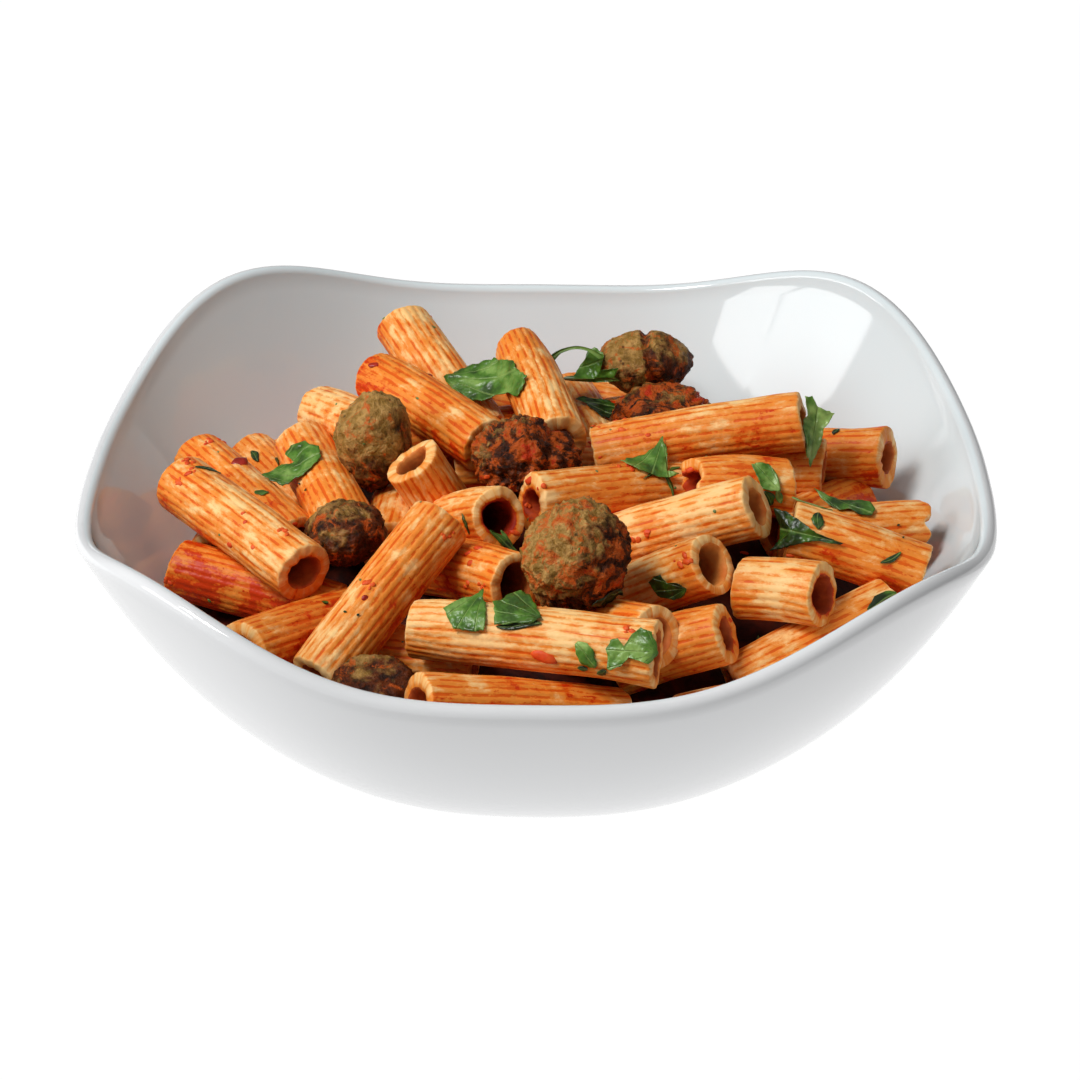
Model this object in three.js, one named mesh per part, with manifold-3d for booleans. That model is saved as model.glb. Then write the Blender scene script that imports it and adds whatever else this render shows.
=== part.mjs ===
// A squared white bowl of rigatoni in tomato sauce, with meatballs and parsley leaves.
// Millimetres, +Z up. The bowl stands on z = 0 with its corners on the diagonals, and its front is towards -Y.
import * as THREE from 'three';
import { mergeVertices } from 'three/addons/utils/BufferGeometryUtils.js';
import Module from 'manifold-3d';

const wasm = await Module();
wasm.setup();

// ---- driving sizes ----
const BOWL_WIDTH = 240;        // across the middles of two opposite sides
const PLAN_POWER = 2.5;        // superellipse power of the plan: 2 is a circle, more is squarer
const SIDE_HEIGHT = 64;        // rim height at the middle of a side
const CORNER_HEIGHT = 79.5;    // rim height at a corner
const CORNER_POWER = 4.15;     // how quickly the rim rises towards its corners
const FOOT_RADIUS = 56;        // outside of the foot, where the wall starts
const FOOT_INSIDE = 48;        // inside of the foot ring
const FOOT_RECESS = 1.5;       // depth of the hollow inside the foot ring
const FLOOR_RADIUS = 52;       // flat of the inside floor
const FLOOR_THICKNESS = 7;
const WALL = 4.5;              // wall thickness at the lip
const WALL_POWER = 2.25;       // curve of the wall from the foot to the rim
const SECTORS = 64;

const PASTA_RADIUS = 8;
const BORE_RADIUS = 4.4;
const BORE_DEPTH = 9;
const PASTA_SIDES = 12;
const BORE_SIDES = 8;

const GAP = 0.5;               // clear space between the heap and the bowl
const TOPPING_GAP = 0.35;      // clear space round a meatball
const LEAF_THICKNESS = 0.8;
const LEAF_LIFT = 0.9;         // least distance from the middle of a leaf to what it lies on
const BUMP_LIFT = 1.0;         // further distance over the lumps of a meatball
const CREAM = '#e6b070';
const MEAT_BROWN = '#6b4a33';
const LEAF_GREEN = '#3d6b22';
const PORCELAIN = '#eeeeec';

const rad = THREE.MathUtils.degToRad;

// ---- bowl ----
function planRadius(angle, half = BOWL_WIDTH / 2) {
  const x = Math.abs(Math.cos(angle)) / half;
  const y = Math.abs(Math.sin(angle)) / half;
  return (x ** PLAN_POWER + y ** PLAN_POWER) ** (-1 / PLAN_POWER);
}

function rimHeight(angle) {
  return SIDE_HEIGHT + (CORNER_HEIGHT - SIDE_HEIGHT) * Math.abs(Math.sin(2 * angle)) ** CORNER_POWER;
}

// A point of the wall's outside or inside at share s of the way from the foot or floor to the lip.
function outerWall(angle, s) {
  const lip = planRadius(angle);
  const top = rimHeight(angle) - WALL / 2;
  return [FOOT_RADIUS + (lip - FOOT_RADIUS) * s, top * s ** WALL_POWER];
}

function innerWall(angle, s) {
  const lip = planRadius(angle) - WALL;
  const top = rimHeight(angle) - WALL / 2;
  return [FLOOR_RADIUS + (lip - FLOOR_RADIUS) * s, FLOOR_THICKNESS + (top - FLOOR_THICKNESS) * s ** WALL_POWER];
}

const WALL_STEPS = [0.2, 0.38, 0.55, 0.7, 0.85, 1];
const LIP_STEPS = 4;

function bowlProfile(angle) {
  const points = [[FOOT_INSIDE - FOOT_RECESS, FOOT_RECESS], [FOOT_INSIDE, 0], [FOOT_RADIUS, 0]];
  for (const s of WALL_STEPS) {
    points.push(outerWall(angle, s));
  }
  const [lipRadius, lipHeight] = outerWall(angle, 1);
  for (let i = 1; i < LIP_STEPS; i++) {
    const turn = Math.PI * i / LIP_STEPS;
    const out = WALL / 2 * (Math.cos(turn) - 1);
    points.push([lipRadius + out, lipHeight + WALL / 2 * Math.sin(turn)]);
  }
  for (const s of [...WALL_STEPS].reverse()) {
    points.push(innerWall(angle, s));
  }
  points.push([FLOOR_RADIUS, FLOOR_THICKNESS]);
  return points;
}

// A closed surface round the Z axis: profile(angle) lists [radius, height] from the bottom pole to the top pole.
function turnedSurface(profile, sectors, bottom, top) {
  const positions = [0, 0, bottom];
  const index = [];
  const rings = profile(0).length;
  for (let k = 0; k < sectors; k++) {
    const angle = 2 * Math.PI * k / sectors;
    for (const [radius, height] of profile(angle)) {
      positions.push(radius * Math.cos(angle), radius * Math.sin(angle), height);
    }
  }
  positions.push(0, 0, top);
  const topPole = 1 + sectors * rings;
  for (let k = 0; k < sectors; k++) {
    const here = 1 + k * rings;
    const next = 1 + ((k + 1) % sectors) * rings;
    index.push(0, next, here);
    for (let j = 0; j < rings - 1; j++) {
      index.push(here + j, next + j, next + j + 1, here + j, next + j + 1, here + j + 1);
    }
    index.push(here + rings - 1, next + rings - 1, topPole);
  }
  return meshGeometry(positions, index);
}

function meshGeometry(positions, index) {
  const geometry = new THREE.BufferGeometry();
  geometry.setAttribute('position', new THREE.Float32BufferAttribute(positions, 3));
  geometry.setIndex(index);
  return geometry;
}

// ---- boolean solids ----
function toManifold(geometry) {
  const bare = geometry.clone();
  bare.deleteAttribute('normal');
  bare.deleteAttribute('uv');
  const merged = mergeVertices(bare, 1e-4);
  return new wasm.Manifold(new wasm.Mesh({
    numProp: 3,
    vertProperties: new Float32Array(merged.attributes.position.array),
    triVerts: new Uint32Array(merged.index.array),
  }));
}

function toGeometry(solid) {
  const mesh = solid.getMesh();
  return meshGeometry(Array.from(mesh.vertProperties), Array.from(mesh.triVerts));
}

// The largest outer shell alone: a sealed hollow inside it is filled and a loose scrap is dropped.
function mainShell(solid) {
  return solid.decompose().reduce((best, piece) => (piece.volume() > best.volume() ? piece : best));
}

// ---- the pasta ----
// Each piece: x, y, z of its middle, heading in degrees from +X, tilt in degrees, length, then the ends of which
// the hole shows: -1 is the end that the heading comes from and 1 the end it points to.
const RIGATONI = [
  [-77, -20, 56, -48, -4, 55, [1]],
  [-79, 5, 50, -54, -3, 52, []],
  [-70, 26, 40, -59, -3, 48, [-1]],
  [-58, 7, 54, -71, 0, 50, []],
  [-54, 38, 57, -62, 15, 40, [-1]],
  [-28, 54, 63, -58, -18, 50, [-1]],
  [-30, 30, 65, -49, -2, 50, [-1]],
  [-1, 35, 68, -74, -9, 46, [-1, 1]],
  [12, 50, 50, -77, 1, 44, [-1]],
  [43, 12, 67, 0, 11, 57, [1]],
  [19.5, -7.5, 59, 25, -8, 46, [-1]],
  [52.5, -10, 63.5, 5, -2, 28, [-1]],
  [37, -23, 58.6, -15, 25, 46, [1]],
  [31.5, -41, 51.5, -32, 36, 40, [1]],
  [62.8, -50.3, 56, -25, 10, 22, [1]],
  [35.5, -62, 46, -16, 27, 30, [1]],
  [1, -76, 56, -15, 3, 62, [1]],
  [17, -60, 49, -42, 19, 40, [1]],
  [-2, -89, 44, 20, -16, 54, [-1]],
  [-38, -56, 56, -124, -23, 55, []],
  [-73, -27, 41, -16, -7, 45, []],
  [-58, -54, 44, 53, -13, 45, []],
  [-17, -36, 52, -52, 17, 44, [1]],
  [-17, -17.5, 56.5, -56, 30, 33, [1]],
  [-26.3, -1.5, 53.9, -163, 62, 30, [1]],
  [-38, -3, 47, 90, -8, 34, [1]],
  [77, 32, 51, -22, 12, 41, [1]],
  [57, 17, 55, -5, 4, 41, [1]],
  [76, 9, 44, 52, -9, 36, []],
  [84, -12, 51, 13, -2, 39, [1]],
  [83, -29.5, 55.5, -12, -14, 36, []],
  [71.3, -53.5, 41.9, 27, 15, 47, []],
  [84, -38, 37, 58, -3, 24, []],
  [48, -76, 34, 20, 0, 24, []],
  [-84, 9, 35, 81, -12, 36, []],
  // lower down and round the back
  [-20, 37, 53, 15, 0, 40, [-1]],
  [-4, 24, 51, 5, 0, 40, []],
  [-34, -58, 40, -10, 0, 40, []],
  [-24, 70, 49, 172, 10, 36, [-1]],
  [10, 78, 44, -15, 0, 44, [1]],
  [31, 60, 48, 20, 0, 26, []],
  [62, 56, 37, -28, 0, 40, [-1]],
  [-60, 62, 36, 38, 0, 46, [1]],
  [-22, 88, 40, -12, 0, 46, [-1]],
  [22, 90, 38, 8, 0, 34, [1]],
].map(([x, y, z, heading, tilt, length, open]) => {
  const axis = new THREE.Vector3(
    Math.cos(rad(tilt)) * Math.cos(rad(heading)),
    Math.cos(rad(tilt)) * Math.sin(rad(heading)),
    Math.sin(rad(tilt)),
  );
  return { middle: new THREE.Vector3(x, y, z), axis, length, open };
});

// A cylinder along +Z, turned so that it runs along the piece, shift millimetres from its middle.
function rod({ middle, axis }, radius, length, sides, shift = 0) {
  const shape = new THREE.CylinderGeometry(radius, radius, length, sides);
  shape.rotateX(Math.PI / 2);
  shape.translate(0, 0, shift);
  shape.applyQuaternion(new THREE.Quaternion().setFromUnitVectors(new THREE.Vector3(0, 0, 1), axis));
  shape.translate(...middle.toArray());
  return toManifold(shape);
}

function rigatone(piece) {
  let solid = rod(piece, PASTA_RADIUS, piece.length, PASTA_SIDES);
  for (const end of piece.open) {
    solid = solid.subtract(rod(piece, BORE_RADIUS, BORE_DEPTH * 2, BORE_SIDES, end * piece.length / 2));
  }
  return solid;
}

// The inside of the bowl less the gap, going on upwards past the rim.
function bowlInside() {
  const ABOVE = 130;
  const profile = (angle) => {
    const wall = [0, ...WALL_STEPS.filter((_, i) => i % 2 === 1)].map((s) => {
      const [radius, height] = innerWall(angle, s);
      return [radius - GAP, height + GAP];
    });
    return [...wall, [planRadius(angle) - WALL - GAP, ABOVE]];
  };
  return toManifold(turnedSurface(profile, SECTORS / 2, FLOOR_THICKNESS + GAP, ABOVE));
}

// The bulk of the heap under the pieces that show: it fills the bowl to a low dome.
const CORE_EDGE = 32;
const CORE_RISE = 21;
const CORE_MIDDLE = [5, 8];
const CORE_SPREAD = [62, 52];

function coreHeight(x, y) {
  const u = (x - CORE_MIDDLE[0]) / CORE_SPREAD[0];
  const v = (y - CORE_MIDDLE[1]) / CORE_SPREAD[1];
  return CORE_EDGE + CORE_RISE * Math.exp(-u * u - v * v);
}

function core(inside) {
  const REACH = 125;
  const RINGS = [1, 0.75, 0.5, 0.25];
  const profile = (angle) => [[REACH, 0], ...RINGS.map((share) => {
    const radius = REACH * share;
    return [radius, coreHeight(radius * Math.cos(angle), radius * Math.sin(angle))];
  })];
  return toManifold(turnedSurface(profile, SECTORS / 4, 0, coreHeight(0, 0))).intersect(inside);
}

// ---- meatballs ----
// Each one: x, y, z of its middle, then its half sizes along X, Y and Z.
const MEATBALLS = [
  [-44, 11, 66, 11, 10.5, 14.5],
  [-3, -1.5, 68, 14.5, 11.5, 11],
  [-49, -26, 58, 11, 10, 8.5],
  [11, -55, 68, 14, 14, 15],
  [29, 61, 66, 14, 10.5, 9.5],
  [34, 40, 61, 14, 10, 7.5],
  [-38, -84, 47, 11.5, 9, 8.5],
].map(([x, y, z, ...half]) => ({ middle: new THREE.Vector3(x, y, z), half: new THREE.Vector3(...half) }));

const LUMP = 0.07;             // height of the lumps, as a share of the size
const BALL_DETAIL = 2;
const BROAD_WAVES = [3.1, 2.7];  // lumps round a ball, along X and Y
const SMALL_WAVES = [4.3, 5.3];  // the smaller ones, along X and Z
const SMALL_SHARE = 0.6;

function lumpHeight({ x, y, z }, number) {
  const broad = Math.sin(BROAD_WAVES[0] * x + number) * Math.sin(BROAD_WAVES[1] * y - 2 * number);
  const small = Math.cos(SMALL_WAVES[0] * x - number) * Math.sin(SMALL_WAVES[1] * z + 3 * number);
  return broad + SMALL_SHARE * small;
}

function meatball({ middle, half }, number, swell = 0) {
  const shape = new THREE.IcosahedronGeometry(1, BALL_DETAIL);
  const reach = half.clone().addScalar(swell);
  const point = new THREE.Vector3();
  const place = shape.attributes.position;
  for (let i = 0; i < place.count; i++) {
    point.fromBufferAttribute(place, i);
    const size = 1 - LUMP + LUMP * lumpHeight(point, number);
    point.multiplyScalar(size).multiply(reach).add(middle);
    place.setXYZ(i, ...point.toArray());
  }
  return shape;
}

// ---- parsley ----
// Each leaf: x, y, z of its middle, azimuth and elevation of the way it faces, then its outline as someone sees it who
// stands in front of the dish and looks down on it: [right of the middle, above it], clockwise.
const LOOK_DOWN = rad(29.3);
const RIGHT = new THREE.Vector3(1, 0, 0);
const RISE = new THREE.Vector3(0, Math.sin(LOOK_DOWN), Math.cos(LOOK_DOWN));
const SIGHT = new THREE.Vector3(0, Math.cos(LOOK_DOWN), -Math.sin(LOOK_DOWN));

const LEAVES = [
  [[-64, 7.5, 60], [-130, 60], [[0, 7], [2, 6], [5, 5], [6, 1.5], [4, -2], [1, -4], [-4, -6.5], [-7, -6],
    [-9, -4.5], [-5.5, 0], [-2, 1], [-5, 3.5], [-3.5, 6]]],
  [[-13.5, 38, 73.5], [-143, 55], [[-13.5, -1], [-11, 1], [-6.5, 4], [-0.5, 5.5], [1, 4.5], [6, 3], [7, 0.5],
    [10, -2], [9, -4.5], [7, -7], [3.5, -5], [-0.5, -5], [-4, -6.5], [-8, -6.5], [-12, -3.5]]],
  [[15, 52.5, 64.5], [-95, 25], [[-2, 8.5], [0.5, 9], [2.5, 6.5], [1.5, 2.5], [6.5, 3], [5.5, 0.5], [7, -0.5],
    [0.5, -1], [-6.5, -0.5], [-13, 0.5], [-6, 1], [-5, 3], [-3, 6]]],
  [[17, 48, 59.5], [-80, 50], [[-7.5, 1.5], [-5.5, 2.5], [0, 2], [2.5, 1.5], [5, -0.5], [4, -3], [1.5, -6],
    [-1, -5.5], [-3, -2.5], [-5, 0]]],
  [[30.5, -6.5, 67.5], [-90, 65], [[-8.5, 2.5], [-6.5, 3.5], [-3.5, 4.5], [0.5, 7], [3, 9.5], [4, 6.5], [4, 0.5],
    [7, 0], [4.5, -1.5], [2, -1.5], [-3.5, -0.5], [-6.5, 1]]],
  [[75, 10.5, 73], [-80, 30], [[-3, 7], [-1, 7], [0.5, 4.5], [2, 3.5], [5, 2.5], [3.5, 0], [2, -1.5], [1.5, -5],
    [0, -8.5], [-2, -11.5], [-3.5, -8.5], [-4.5, -3.5], [-4, 0.5], [-2.5, 2]]],
  [[-15, -74, 63], [-105, 60], [[-6, 0.5], [-2.5, 3], [0, 4], [3.5, 6], [3.5, 2.5], [4.5, 2], [4.5, -1.5],
    [4, -5], [-0.5, -5], [-3.5, -4.5], [-4, -3.5]]],
  [[-3.5, -74, 64], [-100, 60], [[-5.5, 1.5], [-3.5, 2.5], [-1.5, 5], [1, 5.5], [3, 4.5], [4.5, 1.5], [6.5, -3.5],
    [3.5, -5], [-1, -5], [-5, -5], [-5, -2.5]]],
  [[23, -89, 61.5], [-105, 40], [[-4.5, -4.5], [-4, -1.5], [-4.5, 0.5], [-3, 2.5], [-1.5, 3], [0, 1], [2, 4],
    [4, 5.5], [6.5, 4.5], [8, 2], [7.5, -1], [5.5, -3], [2.5, -2], [1, -1.5], [-1, -3.5], [-3.5, -4.5]]],
  [[66, -32.5, 63.5], [-100, 30], [[-5, 6], [-1.5, 5], [1.5, 3], [3.5, 1.5], [6, -0.5], [12.5, -3], [12, -3.5],
    [6, -2.5], [1, -3.5], [-3, -4.5], [-6, -5], [-3.5, -2], [-3.5, 1.5], [-4.5, 4]]],
  [[82.5, -12.5, 60.5], [-75, 50], [[-8.5, 5], [-6, 4], [-2.5, 2.5], [0, 2], [2.5, 2], [5.5, 1], [6, -1.5],
    [5, -3.5], [1.5, -3], [-0.5, -1.5], [-3.5, -1.5], [-6, 0.5], [-7.5, 2.5]]],
  [[33.5, -52, 57], [-120, 20], [[-4, 2], [-2.5, 3.5], [-1, 4], [1, 2], [3.5, 2], [5.5, 0.5], [5, -1.5], [2, -2.5],
    [-1.5, -2], [-3, 0]]],
  [[60, -14.5, 69.5], [-80, 50], [[-4, 3], [-2, 3.5], [0.5, 3], [2.5, 0.5], [3.5, -4], [1, -4], [-1.5, -3],
    [-2.5, -0.5]]],
].map(([middle, [azimuth, elevation], outline]) => {
  const face = new THREE.Vector3(
    Math.cos(rad(elevation)) * Math.cos(rad(azimuth)),
    Math.cos(rad(elevation)) * Math.sin(rad(azimuth)),
    Math.sin(rad(elevation)),
  );
  const across = new THREE.Vector3(0, 0, 1).cross(face).normalize();
  const up = face.clone().cross(across);
  // each point slides along the line of sight onto the leaf's plane
  const rim = outline.map(([right, above]) => {
    const off = RIGHT.clone().multiplyScalar(right).addScaledVector(RISE, above);
    off.addScaledVector(SIGHT, -off.dot(face) / SIGHT.dot(face));
    return { u: off.dot(across), v: off.dot(up) };
  }).reverse();
  return { middle: new THREE.Vector3(...middle), face, across, up, rim };
});

const LEAF_RINGS = [0.5, 1];

// How far along the ray an ellipsoid or a rod is first met, or Infinity where it is missed or lies behind the start.
function hitEllipsoid(origin, way, middle, half) {
  const o = origin.clone().sub(middle).divide(half);
  const w = way.clone().divide(half);
  const a = w.dot(w);
  const b = o.dot(w);
  const root = b * b - a * (o.dot(o) - 1);
  return root > 0 && Math.sqrt(root) > b ? (-b - Math.sqrt(root)) / a : Infinity;
}

function hitRod(origin, way, { middle, axis, length }, swell) {
  const radius = PASTA_RADIUS + swell;
  const from = origin.clone().sub(middle);
  const w = way.clone().addScaledVector(axis, -way.dot(axis));
  const o = from.clone().addScaledVector(axis, -from.dot(axis));
  const a = w.dot(w);
  const b = o.dot(w);
  const root = b * b - a * (o.dot(o) - radius * radius);
  if (root <= 0) {
    return Infinity;
  }
  const caps = [-1, 1].map((end) => (end * (length / 2 + swell) - from.dot(axis)) / way.dot(axis));
  const enter = Math.max((-b - Math.sqrt(root)) / a, Math.min(...caps));
  const leave = Math.min((-b + Math.sqrt(root)) / a, Math.max(...caps));
  return enter < leave && leave > 0 ? enter : Infinity;
}

const DROP_FROM = 12;          // what stands wholly above this height over a leaf's plane doesn't lift it

// Height over the leaf's plane at which a point (u, v) of the leaf comes to lie on the heap.
function restHeight(leaf, u, v) {
  const point = leaf.middle.clone().addScaledVector(leaf.across, u).addScaledVector(leaf.up, v);
  const origin = point.addScaledVector(leaf.face, DROP_FROM);
  const way = leaf.face.clone().negate();
  let nearest = Infinity;
  for (const piece of RIGATONI) {
    nearest = Math.min(nearest, hitRod(origin, way, piece, LEAF_LIFT));
  }
  for (const { middle, half } of MEATBALLS) {
    nearest = Math.min(nearest, hitEllipsoid(origin, way, middle, half.clone().addScalar(LEAF_LIFT + BUMP_LIFT)));
  }
  return DROP_FROM - nearest;
}

const LOWEST_REST = -4;        // a leaf sags no further than this under its plane
const HIGHEST_REST = 6.5;      // what stands higher than this turns the leaf's edge back
const LEAST_SHARE = 0.3;
const TRIM = 0.05;
const SMOOTHING = 30;
const WAVE = 0.7;
const WAVES_ROUND = 3;

// How much of the way to a point of its outline a leaf reaches before it would have to climb too high.
function reachTo(leaf, { u, v }) {
  let share = 1;
  while (share > LEAST_SHARE && restHeight(leaf, u * share, v * share) > HIGHEST_REST) {
    share -= TRIM;
  }
  return share;
}

function leafGeometry(leaf, number) {
  const sectors = leaf.rim.length;
  const rings = LEAF_RINGS.length;
  const spots = [{ u: 0, v: 0, share: 0, turn: 0 }];
  leaf.rim.forEach(({ u, v }, k) => {
    const reach = reachTo(leaf, { u, v });
    for (const share of LEAF_RINGS) {
      spots.push({ u: u * reach * share, v: v * reach * share, share, turn: 2 * Math.PI * k / sectors });
    }
  });
  const spot = (ring, k) => 1 + ((k + sectors) % sectors) * rings + ring;
  const rest = spots.map(({ u, v }) => Math.max(LOWEST_REST, restHeight(leaf, u, v)));
  let height = [...rest];
  for (let pass = 0; pass < SMOOTHING; pass++) {
    height = height.map((_, i) => {
      if (i === 0) {
        return Math.max(rest[0], average(height, range(sectors).map((k) => spot(0, k))));
      }
      const ring = (i - 1) % rings;
      const k = (i - 1 - ring) / rings;
      const near = [spot(ring, k - 1), spot(ring, k + 1), ring > 0 ? spot(ring - 1, k) : 0];
      if (ring < rings - 1) {
        near.push(spot(ring + 1, k));
      }
      return Math.max(rest[i], average(height, near));
    });
  }
  const positions = [];
  for (const side of [1, -1]) {
    spots.forEach(({ u, v, share, turn }, i) => {
      const wave = WAVE * share * share * (1 + Math.sin(WAVES_ROUND * turn + number));
      const lift = height[i] + wave + side * LEAF_THICKNESS / 2;
      const point = leaf.middle.clone().addScaledVector(leaf.across, u).addScaledVector(leaf.up, v);
      positions.push(...point.addScaledVector(leaf.face, lift).toArray());
    });
  }
  const index = [];
  const under = spots.length;
  const triangle = (a, b, c) => index.push(a, b, c, under + a, under + c, under + b);
  for (let k = 0; k < sectors; k++) {
    triangle(0, spot(0, k), spot(0, k + 1));
    for (let ring = 0; ring < rings - 1; ring++) {
      triangle(spot(ring, k), spot(ring + 1, k), spot(ring + 1, k + 1));
      triangle(spot(ring, k), spot(ring + 1, k + 1), spot(ring, k + 1));
    }
    const a = spot(rings - 1, k);
    const b = spot(rings - 1, k + 1);
    index.push(a, under + a, under + b, a, under + b, b);
  }
  return meshGeometry(positions, index);
}

function range(count) {
  return Array.from({ length: count }, (_, i) => i);
}

function average(values, indices) {
  return indices.reduce((sum, i) => sum + values[i], 0) / indices.length;
}

// ---- the dish ----
const dish = new THREE.Group();

function add(name, geometry, color, roughness) {
  const mesh = new THREE.Mesh(geometry, new THREE.MeshStandardMaterial({ color, roughness, metalness: 0 }));
  mesh.name = name;
  dish.add(mesh);
}

add('bowl', turnedSurface(bowlProfile, SECTORS, FOOT_RECESS, FLOOR_THICKNESS), PORCELAIN, 0.15);

const inside = bowlInside();
const swollenMeatballs = MEATBALLS.map((ball, i) => toManifold(meatball(ball, i, TOPPING_GAP)));
const heap = wasm.Manifold.union([core(inside), ...RIGATONI.map(rigatone)])
  .intersect(inside)
  .subtract(wasm.Manifold.union(swollenMeatballs));
add('pasta', toGeometry(mainShell(heap)), CREAM, 0.5);

MEATBALLS.forEach((ball, i) => add(`meatball_${i + 1}`, meatball(ball, i), MEAT_BROWN, 0.7));
LEAVES.forEach((leaf, i) => add(`leaf_${i + 1}`, leafGeometry(leaf, i), LEAF_GREEN, 0.6));

export default dish;
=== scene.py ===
# A squared white bowl of rigatoni in tomato sauce, with meatballs and parsley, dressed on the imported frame.
# Lengths are millimetres and angles degrees, unless a line says otherwise; meshes are written in metres.
import math
import random

import bpy
import bmesh
import numpy as np
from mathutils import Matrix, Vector, noise
from mathutils.bvhtree import BVHTree


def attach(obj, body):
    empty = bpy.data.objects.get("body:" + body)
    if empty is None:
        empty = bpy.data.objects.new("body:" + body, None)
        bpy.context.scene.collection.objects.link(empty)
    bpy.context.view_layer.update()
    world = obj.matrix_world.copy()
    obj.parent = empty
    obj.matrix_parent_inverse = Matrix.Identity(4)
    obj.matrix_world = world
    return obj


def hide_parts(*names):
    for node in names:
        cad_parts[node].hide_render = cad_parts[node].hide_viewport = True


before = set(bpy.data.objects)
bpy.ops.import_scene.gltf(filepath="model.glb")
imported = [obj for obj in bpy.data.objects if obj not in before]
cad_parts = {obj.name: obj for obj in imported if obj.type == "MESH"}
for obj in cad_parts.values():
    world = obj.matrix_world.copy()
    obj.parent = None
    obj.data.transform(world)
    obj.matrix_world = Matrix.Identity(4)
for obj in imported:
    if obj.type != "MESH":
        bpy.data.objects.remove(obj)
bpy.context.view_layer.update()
MM = 0.001  # metres in a millimetre
rng = random.Random(11)

# ---- sizes shared with the frame
BOWL_WIDTH, PLAN_POWER = 240.0, 2.5
SIDE_HEIGHT, CORNER_HEIGHT, CORNER_POWER = 64.0, 79.5, 4.15
FOOT_RADIUS, FOOT_INSIDE, FOOT_RECESS = 56.0, 48.0, 1.5
FLOOR_RADIUS, FLOOR_THICKNESS = 52.0, 7.0
WALL, WALL_POWER = 4.5, 2.25
PASTA_RADIUS = 8.0
CORE_EDGE, CORE_RISE, CORE_MIDDLE, CORE_SPREAD = 32.0, 21.0, (5.0, 8.0), (62.0, 52.0)

# x, y, z of the middle, heading, tilt, length
RIGATONI = [
    (-77, -20, 56, -48, -4, 55), (-79, 5, 50, -54, -3, 52), (-70, 26, 40, -59, -3, 48),
    (-58, 7, 54, -71, 0, 50), (-54, 38, 57, -62, 15, 40), (-28, 54, 63, -58, -18, 50),
    (-30, 30, 65, -49, -2, 50), (-1, 35, 68, -74, -9, 46), (12, 50, 50, -77, 1, 44),
    (43, 12, 67, 0, 11, 57), (19.5, -7.5, 59, 25, -8, 46), (52.5, -10, 63.5, 5, -2, 28),
    (37, -23, 58.6, -15, 25, 46), (31.5, -41, 51.5, -32, 36, 40), (62.8, -50.3, 56, -25, 10, 22),
    (35.5, -62, 46, -16, 27, 30), (1, -76, 56, -15, 3, 62), (17, -60, 49, -42, 19, 40),
    (-2, -89, 44, 20, -16, 54), (-38, -56, 56, -124, -23, 55), (-73, -27, 41, -16, -7, 45),
    (-58, -54, 44, 53, -13, 45), (-17, -36, 52, -52, 17, 44), (-17, -17.5, 56.5, -56, 30, 33),
    (-26.3, -1.5, 53.9, -163, 62, 30), (-38, -3, 47, 90, -8, 34), (77, 32, 51, -22, 12, 41),
    (57, 17, 55, -5, 4, 41), (76, 9, 44, 52, -9, 36), (84, -12, 51, 13, -2, 39),
    (83, -29.5, 55.5, -12, -14, 36), (71.3, -53.5, 41.9, 27, 15, 47), (84, -38, 37, 58, -3, 24),
    (48, -76, 34, 20, 0, 24), (-84, 9, 35, 81, -12, 36), (-20, 37, 53, 15, 0, 40),
    (-4, 24, 51, 5, 0, 40), (-34, -58, 40, -10, 0, 40), (-24, 70, 49, 172, 10, 36),
    (10, 78, 44, -15, 0, 44), (31, 60, 48, 20, 0, 26), (62, 56, 37, -28, 0, 40),
    (-60, 62, 36, 38, 0, 46), (-22, 88, 40, -12, 0, 46), (22, 90, 38, 8, 0, 34),
]
UNDER_FROM = 35  # pieces from this one on lie lower down and round the back
# x, y, z of the middle and half the size each way
MEATBALLS = [
    (-44, 11, 66, 11, 10.5, 14.5), (-3, -1.5, 68, 14.5, 11.5, 11), (-49, -26, 58, 11, 10, 8.5),
    (11, -55, 68, 14, 14, 15), (29, 61, 66, 14, 10.5, 9.5), (34, 40, 61, 14, 10, 7.5),
    (-38, -84, 47, 11.5, 9, 8.5),
]

# the photograph's camera: its place, what it looks at, its lens, sensor and the picture's side in pixels
CAMERA, TARGET = Vector((15.9, -669.4, 418.0)), Vector((0.7, 0, 41.8))
LENS, SENSOR, PICTURE = 94.9, 36.0, 1080
VIEW = (TARGET - CAMERA).to_track_quat("-Z", "Y").to_matrix()
RIGHT, RISE, SIGHT = VIEW.col[0].copy(), VIEW.col[1].copy(), -VIEW.col[2]
UP = Vector((0, 0, 1))


def plan_radius(angle):
    half = BOWL_WIDTH / 2
    x, y = np.abs(np.cos(angle)) / half, np.abs(np.sin(angle)) / half
    return (x**PLAN_POWER + y**PLAN_POWER) ** (-1 / PLAN_POWER)


def rim_height(angle):
    return SIDE_HEIGHT + (CORNER_HEIGHT - SIDE_HEIGHT) * np.abs(np.sin(2 * angle)) ** CORNER_POWER


def inner_wall(angle, s):
    """Radius and height of the inside, s from the floor (0) to the lip (1)."""
    lip = plan_radius(angle) - WALL
    top = rim_height(angle) - WALL / 2
    return (FLOOR_RADIUS + (lip - FLOOR_RADIUS) * s,
            FLOOR_THICKNESS + (top - FLOOR_THICKNESS) * s**WALL_POWER)


def outer_wall(angle, s):
    return (FOOT_RADIUS + (plan_radius(angle) - FOOT_RADIUS) * s,
            (rim_height(angle) - WALL / 2) * s**WALL_POWER)


def inner_wall_height(x, y):
    angle = np.arctan2(y, x)
    s = (np.hypot(x, y) - FLOOR_RADIUS) / (plan_radius(angle) - WALL - FLOOR_RADIUS)
    return inner_wall(angle, np.maximum(0, s))[1]


def core_height(x, y):
    u, v = (x - CORE_MIDDLE[0]) / CORE_SPREAD[0], (y - CORE_MIDDLE[1]) / CORE_SPREAD[1]
    return CORE_EDGE + CORE_RISE * np.exp(-u * u - v * v)


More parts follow.
